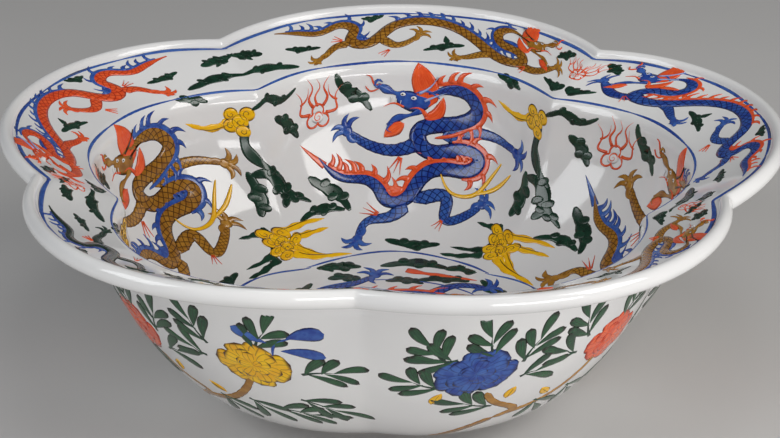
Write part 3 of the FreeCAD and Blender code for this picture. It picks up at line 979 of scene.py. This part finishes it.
TOP_SPRAYS = [(-52, 96, 130, 2), (-31, 98, 108, 2), (-16, 92, 72, 2), (18, 98, 108, 2), (42, 99, 58, 2)]
SIDE_SPRAYS = [(-50, 76, 160, 2), (-48, 98, 175, 1), (-14, 80, 15, 1), (-20, 56, 160, 2), (14, 88, 150, 1),
               (22, 56, -60, 1), (50, 62, -40, 2), (59, 84, 5, 2), (34, 50, -14, 2), (4, 52, -65, 1)]


def peony_branch(draw, left, right, accent=None):
    """The outside of one lobe: a forked branch with two full flowers, buds and leaf sprays."""
    draw.stroke("ochre", [(-14, 40, 1.3), (-6, 47, 1.1), (-18, 58, .9), (-27, 70, .8)], 2.5)
    draw.stroke("ochre", [(-12, 43, 1.2), (2, 47, 1.1), (16, 56, .9), (28, 70, .8), (34, 80, .6)], 2.5)
    draw.stroke("ochre", [(-30, 10, 1.6), (-24, 26, 1.4), (-14, 41, 1.2)], 2.7)
    for x, y, heading, pairs in TOP_SPRAYS + SIDE_SPRAYS:
        spray(draw, x, y, heading, pairs)
    for x, y, heading in ((-50, 62, 80), (-15, 62, 80), (10, 56, 130)):
        bud(draw, x, y, heading)
    peony(draw, left, -37, 87, 19.5)
    peony(draw, right, 38, 88, 18.5, 0.86, 10)
    if accent:
        draw.stroke(accent, [(50, 97), (54, 106), (62, 110)], 0.9, brushed, layer=1)
        leaf_at(draw, 60, 110, 12, 19, 5.0, accent)
        leaf_at(draw, 55, 101, -10, 20, 4.2, accent)
        leaf_at(draw, 50, 106, 150, 17, 3.8, accent)


def painted_line(draw, y, half_width, radius, wobble=0.25, enamel="blue_line"):
    """A line round the bowl in four overlapping strokes to a lobe."""
    reach = Zone.ARC * radius * HALF_LOBE
    for azimuth in (BACK, LEFT, FRONT_LEFT, FRONT_RIGHT, RIGHT):
        draw.turn_to(azimuth)
        for k in range(4):
            first = -reach + reach * k / 2
            xs = np.linspace(first - 1.5, first + reach / 2 + 1.5, 5)
            ys = y + wobble * np.sin(0.11 * xs + azimuth)
            draw.stroke(enamel, np.stack([xs, ys], 1), half_width, brushed, layer=k % 2, step=2.0)


# ------------------------------------------------------------------------ settings

def linear(red, green, blue):
    """A colour as a shader takes it, from the 0 to 255 numbers of a colour chart."""
    shares = [c / 255 for c in (red, green, blue)]
    return tuple(s / 12.92 if s <= 0.04045 else ((s + 0.055) / 1.055) ** 2.4 for s in shares)


def colour_property(name, description, red, green, blue):
    return bpy.props.FloatVectorProperty(name=name, description=description, subtype="COLOR", size=3,
                                         min=0.0, max=1.0, default=linear(red, green, blue))


class PunchBowlColours(bpy.types.PropertyGroup):
    """Colours of the glazes and enamels."""

    porcelain: colour_property("Porcelain", "White ware under its clear glaze", 228, 227, 226)
    porcelain_shade: colour_property("Porcelain shade", "Where the white is a little greyer", 219, 218, 218)
    blue: colour_property("Blue", "Cobalt blue laid thickly", 22, 50, 136)
    blue_wash: colour_property("Blue wash", "Cobalt blue laid thinly", 62, 104, 178)
    blue_edge: colour_property("Blue edge", "Where cobalt blue gathers", 8, 14, 66)
    blue_pale: colour_property("Pale blue", "The palest blue line", 150, 170, 214)
    red: colour_property("Red", "Iron red laid thickly", 212, 62, 20)
    red_wash: colour_property("Red wash", "Iron red laid thinly", 238, 106, 56)
    red_edge: colour_property("Red edge", "Where iron red gathers", 160, 36, 12)
    green: colour_property("Green", "Dark green laid thickly", 12, 38, 26)
    green_wash: colour_property("Green wash", "Dark green laid thinly", 26, 64, 46)
    leaf_light: colour_property("Leaf", "The light middle of a leaf", 44, 92, 56)
    yellow: colour_property("Yellow", "Bright yellow", 246, 200, 18)
    yellow_deep: colour_property("Deep yellow", "Yellow shaded towards orange", 228, 162, 8)
    ochre: colour_property("Ochre", "Ochre laid thinly", 184, 132, 44)
    ochre_deep: colour_property("Deep ochre", "Ochre laid thickly", 132, 84, 18)
    brown_line: colour_property("Brown line", "Drawn outlines on yellow and ochre", 62, 30, 8)
    line: colour_property("Dark line", "The darkest drawn lines", 26, 18, 16)


class PunchBowlSizes(bpy.types.PropertyGroup):
    """How finely the bowl is made and how its paint lies."""

    columns: bpy.props.IntProperty(
        name="Columns", description="Columns of each lobe of the glazed surfaces", default=60,
        min=12, max=120)
    glaze: bpy.props.FloatProperty(
        name="Glaze", description="Thickness of the clear glaze", default=GLAZE * MM, min=0.0001, max=0.002,
        unit="LENGTH", subtype="DISTANCE")
    lens: bpy.props.FloatProperty(
        name="Lens", description="Focal length of the camera", default=141.8, min=20.0, max=400.0,
        subtype="DISTANCE_CAMERA")
    distance: bpy.props.FloatProperty(
        name="Distance", description="From the camera to the point it looks at", default=1.528, min=0.5,
        max=5.0, unit="LENGTH", subtype="DISTANCE")


# ------------------------------------------------------------------------ operators

class PUNCHBOWL_OT_clay(bpy.types.Operator):
    """Give the clay pieces of the frame their finish and make the foot's unglazed seat."""

    bl_idname = "punch_bowl.clay"
    bl_label = "Clay"

    def execute(self, context):
        clay = clay_material()
        for node in ("rim_bead", "rim_flange", "bowl_wall", "floor_disc"):
            piece = bpy.data.objects[node]
            piece.data.materials.clear()
            piece.data.materials.append(clay)
        back = straight_rows((61.05, GLAZE_END_Z) + FOOT_NOTCH, (60.0, 8.0) + FOOT_NOTCH, 3)
        front = straight_rows((69.2, 4.2) + FOOT_NOTCH, (69.07, GLAZE_END_Z) + FOOT_NOTCH, 2)
        top = straight_rows((60.0, 8.0) + FOOT_NOTCH, (69.2, 4.2) + FOOT_NOTCH, 3)
        ring = joined(seat, back, top, front)[:-1]
        piece = turned_body("foot_seat", ring, 24)
        piece.data.materials.append(clay)
        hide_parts("foot_ring")
        return {"FINISHED"}


class PUNCHBOWL_OT_glaze(bpy.types.Operator):
    """Make the three glossy coats: inside and over the lip, outside, and inside the foot."""

    bl_idname = "punch_bowl.glaze"
    bl_label = "Glaze"

    def execute(self, context):
        sizes = context.scene.punch_bowl_sizes
        depth = sizes.glaze / MM
        material = glaze_material()
        coats = {
            "inside": [inside_run, inset(inside_run[::2], depth)[::-1]],
            "outside": [outside_run, inset(outside_run[::2], depth)[::-1]],
            "base": [base_run[::-1], inset(base_run, depth)],
        }
        for side, rows in coats.items():
            piece = turned_body("glaze_" + side, np.vstack(rows), sizes.columns)
            piece.data.materials.append(material)
            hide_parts(side + "_glaze")
        return {"FINISHED"}


class PUNCHBOWL_OT_lines(bpy.types.Operator):
    """Paint the blue lines round the rim, the shoulder and the floor."""

    bl_idname = "punch_bowl.lines"
    bl_label = "Lines"

    def execute(self, context):
        ledge_lines = Picture("rim_line", LEDGE_ZONE, 11)
        painted_line(ledge_lines, 36.9, 1.0, 191.5)
        ledge_lines.make()
        wall_lines = Picture("shoulder_line", WALL_ZONE, 12)
        painted_line(wall_lines, 114.6, 0.95, 156.0)
        painted_line(wall_lines, 2.6, 0.8, 88.0, 0.6)
        wall_lines.make()
        return {"FINISHED"}


class PUNCHBOWL_OT_wall(bpy.types.Operator):
    """Paint the cavity's wall: a dragon on each lobe, clouds and flaming pearls."""

    bl_idname = "punch_bowl.wall"
    bl_label = "Wall"

    def execute(self, context):
        picture = Picture("wall", WALL_ZONE, 21)
        for azimuth, skin, fins, horn in (
            (BACK, "blue", "red", "horn"),
            (LEFT, "ochre", "blue", "brown"),
            (RIGHT, "ochre", "blue", "brown"),
            (FRONT_LEFT, "red", "green", "line"),
            (FRONT_RIGHT, "green", "red", "horn"),
        ):
            picture.turn_to(azimuth)
            wall_clouds(picture)
            wall_dragon(picture, skin, fins, horn)
        picture.make()
        return {"FINISHED"}


class PUNCHBOWL_OT_ledge(bpy.types.Operator):
    """Paint the ledge: a long dragon on each lobe, clouds and small flaming pearls."""

    bl_idname = "punch_bowl.ledge"
    bl_label = "Ledge"

    def execute(self, context):
        picture = Picture("ledge", LEDGE_ZONE, 41)
        for azimuth, mirror, skin, fins, horn in (
            (BACK, -1, "ochre", "blue", "brown"),
            (LEFT, 1, "red", "blue", "horn"),
            (RIGHT, 1, "blue", "red", "horn"),
            (FRONT_LEFT, 1, "green", "blue", "horn"),
            (FRONT_RIGHT, 1, "ochre", "blue", "brown"),
        ):
            picture.turn_to(azimuth, mirror)
            ledge_clouds(picture)
            ledge_dragon(picture, skin, fins, horn)
        picture.make()
        return {"FINISHED"}


class PUNCHBOWL_OT_floor(bpy.types.Operator):
    """Paint the floor: a coiled dragon among clouds inside a double line."""

    bl_idname = "punch_bowl.floor"
    bl_label = "Floor"

    def execute(self, context):
        picture = Picture("floor", FLOOR_ZONE, 61).turn_to(BACK)
        flames(picture, "red", FLOOR_SPINE, 1, 4.6, 6, 26, 0.1, 0.95)
        leg(picture, "blue", [(-30, 24), (-40, 40), (-24, 54), (-12, 66)], 90, 3.4, 1.2)
        leg(picture, "blue", [(18, 44), (30, 56), (48, 52)], 20, 3.2, 1.1)
        leg(picture, "blue", [(4, -18), (2, -34), (-10, -46)], 230, 3.2, 1.1)
        leg(picture, "blue", [(20, -6), (34, -14), (50, -26)], -30, 3.2, 1.1)
        picture.stroke("red", [(4, 73), (14, 70), (28, 66), (42, 60)], 2.6, trailing, layer=1)
        picture.stroke("blue_scales", FLOOR_SPINE, 5.0, layer=3)
        dragon_head(picture, "blue", "horn", -16, 12, 20, 0.9)
        pearl(picture, -50, -20, size=0.8)
        for points in FLOOR_CLOUDS:
            cloud(picture, points, 4.2)
        for eighth in range(8):
            a = np.linspace(math.pi / 4 * eighth - 0.03, math.pi / 4 * (eighth + 1) + 0.03, 6)
            picture.stroke("blue_line", np.stack([FLOOR_RING * np.cos(a), FLOOR_RING * np.sin(a)], 1),
                           0.8, brushed, step=1.8)
        picture.make()
        return {"FINISHED"}


class PUNCHBOWL_OT_outside(bpy.types.Operator):
    """Paint the outside: a branch with two peonies on each lobe."""

    bl_idname = "punch_bowl.outside"
    bl_label = "Outside"

    def execute(self, context):
        picture = Picture("outside", OUTER_ZONE, 81)
        for azimuth, left, right, accent in (
            (FRONT_RIGHT, "blue", "red", None),
            (FRONT_LEFT, "red", "yellow", "blue"),
            (LEFT, "blue", "red", None),
            (BACK, "yellow", "blue", None),
            (RIGHT, "red", "yellow", "blue"),
        ):
            peony_branch(picture.turn_to(azimuth), left, right, accent)
        picture.make()
        return {"FINISHED"}


def area_light(name, place, target, width, height, power, tint=(1.0, 1.0, 1.0)):
    data = bpy.data.lights.new(name, "AREA")
    data.shape = "RECTANGLE"
    data.size = width
    data.size_y = height
    data.energy = power
    data.color = tint
    light = bpy.data.objects.new(name, data)
    light.location = place
    light.rotation_euler = (Vector(target) - Vector(place)).to_track_quat("-Z", "Y").to_euler()
    bpy.context.scene.collection.objects.link(light)
    return light


class PUNCHBOWL_OT_stage(bpy.types.Operator):
    """Lay a pale floor, hang soft lights and set the camera."""

    bl_idname = "punch_bowl.stage"
    bl_label = "Stage"

    def execute(self, context):
        scene = context.scene
        mesh = bpy.data.meshes.new("backdrop")
        mesh.from_pydata([(-6, -6, 0), (6, -6, 0), (6, 6, 0), (-6, 6, 0)], [], [(0, 1, 2, 3)])
        floor = bpy.data.objects.new("backdrop", mesh)
        scene.collection.objects.link(floor)
        s = Shader("backdrop")
        grain = s.noise(s.place(), 6.0, 2.0)
        floor.data.materials.append(s.finish(
            Base_Color=s.mix(grain, linear(206, 204, 202) + (1,), linear(199, 197, 196) + (1,)),
            Roughness=0.9, Specular_IOR_Level=0.15))

        world = bpy.data.worlds.new("studio")
        world.use_nodes = True
        world.node_tree.nodes["Background"].inputs[0].default_value = (0.80, 0.82, 0.86, 1)
        world.node_tree.nodes["Background"].inputs[1].default_value = 0.10
        scene.world = world
        middle = (0.0, 0.0, 0.08)
        area_light("window_right", (1.19, -0.55, 1.02), middle, 0.75, 1.0, 15.5, (1.0, 0.99, 0.96))
        area_light("window_left", (-1.2, -0.69, 0.90), middle, 0.75, 1.0, 11.0, (0.95, 0.98, 1.0))
        area_light("front", (0.9, -1.6, 0.28), (0.0, -0.1, 0.06), 1.2, 0.5, 14.0)
        area_light("top", (0.1, -0.3, 1.8), middle, 0.6, 0.6, 2.5)
        scene.view_settings.view_transform = "Standard"

        sizes = scene.punch_bowl_sizes
        data = bpy.data.cameras.new("camera")
        data.lens = sizes.lens
        data.sensor_width = 36.0
        camera = bpy.data.objects.new("camera", data)
        scene.collection.objects.link(camera)
        turn = math.radians(-90 + 4.6)
        lift = math.radians(23.45)
        target = Vector((0.0012, 0.0001, 0.0855))
        way = Vector((math.cos(turn) * math.cos(lift), math.sin(turn) * math.cos(lift), math.sin(lift)))
        camera.location = target + way * sizes.distance
        camera.rotation_euler = (-way).to_track_quat("-Z", "Y").to_euler()
        scene.camera = camera
        return {"FINISHED"}


class PUNCHBOWL_PT_panel(bpy.types.Panel):
    """Buttons that make the bowl piece by piece."""

    bl_idname = "PUNCHBOWL_PT_panel"
    bl_label = "Punch bowl"
    bl_space_type = "VIEW_3D"
    bl_region_type = "UI"
    bl_category = "Punch bowl"

    def draw(self, context):
        for group in (context.scene.punch_bowl_sizes, context.scene.punch_bowl):
            for name in group.bl_rna.properties.keys():
                if name not in ("name", "rna_type"):
                    self.layout.prop(group, name)
        for operator in OPERATORS:
            self.layout.operator(operator.bl_idname)


OPERATORS = (PUNCHBOWL_OT_clay, PUNCHBOWL_OT_glaze, PUNCHBOWL_OT_lines, PUNCHBOWL_OT_wall, PUNCHBOWL_OT_ledge,
             PUNCHBOWL_OT_floor, PUNCHBOWL_OT_outside, PUNCHBOWL_OT_stage)
CLASSES = (PunchBowlColours, PunchBowlSizes, *OPERATORS, PUNCHBOWL_PT_panel)


def register():
    for cls in CLASSES:
        bpy.utils.register_class(cls)
    bpy.types.Scene.punch_bowl = bpy.props.PointerProperty(type=PunchBowlColours)
    bpy.types.Scene.punch_bowl_sizes = bpy.props.PointerProperty(type=PunchBowlSizes)


def unregister():
    del bpy.types.Scene.punch_bowl_sizes
    del bpy.types.Scene.punch_bowl
    for cls in reversed(CLASSES):
        bpy.utils.unregister_class(cls)


def main():
    register()
    for make in (bpy.ops.punch_bowl.clay, bpy.ops.punch_bowl.glaze, bpy.ops.punch_bowl.lines,
                 bpy.ops.punch_bowl.wall, bpy.ops.punch_bowl.ledge, bpy.ops.punch_bowl.floor,
                 bpy.ops.punch_bowl.outside, bpy.ops.punch_bowl.stage):
        make()


if __name__ == "__main__":
    main()
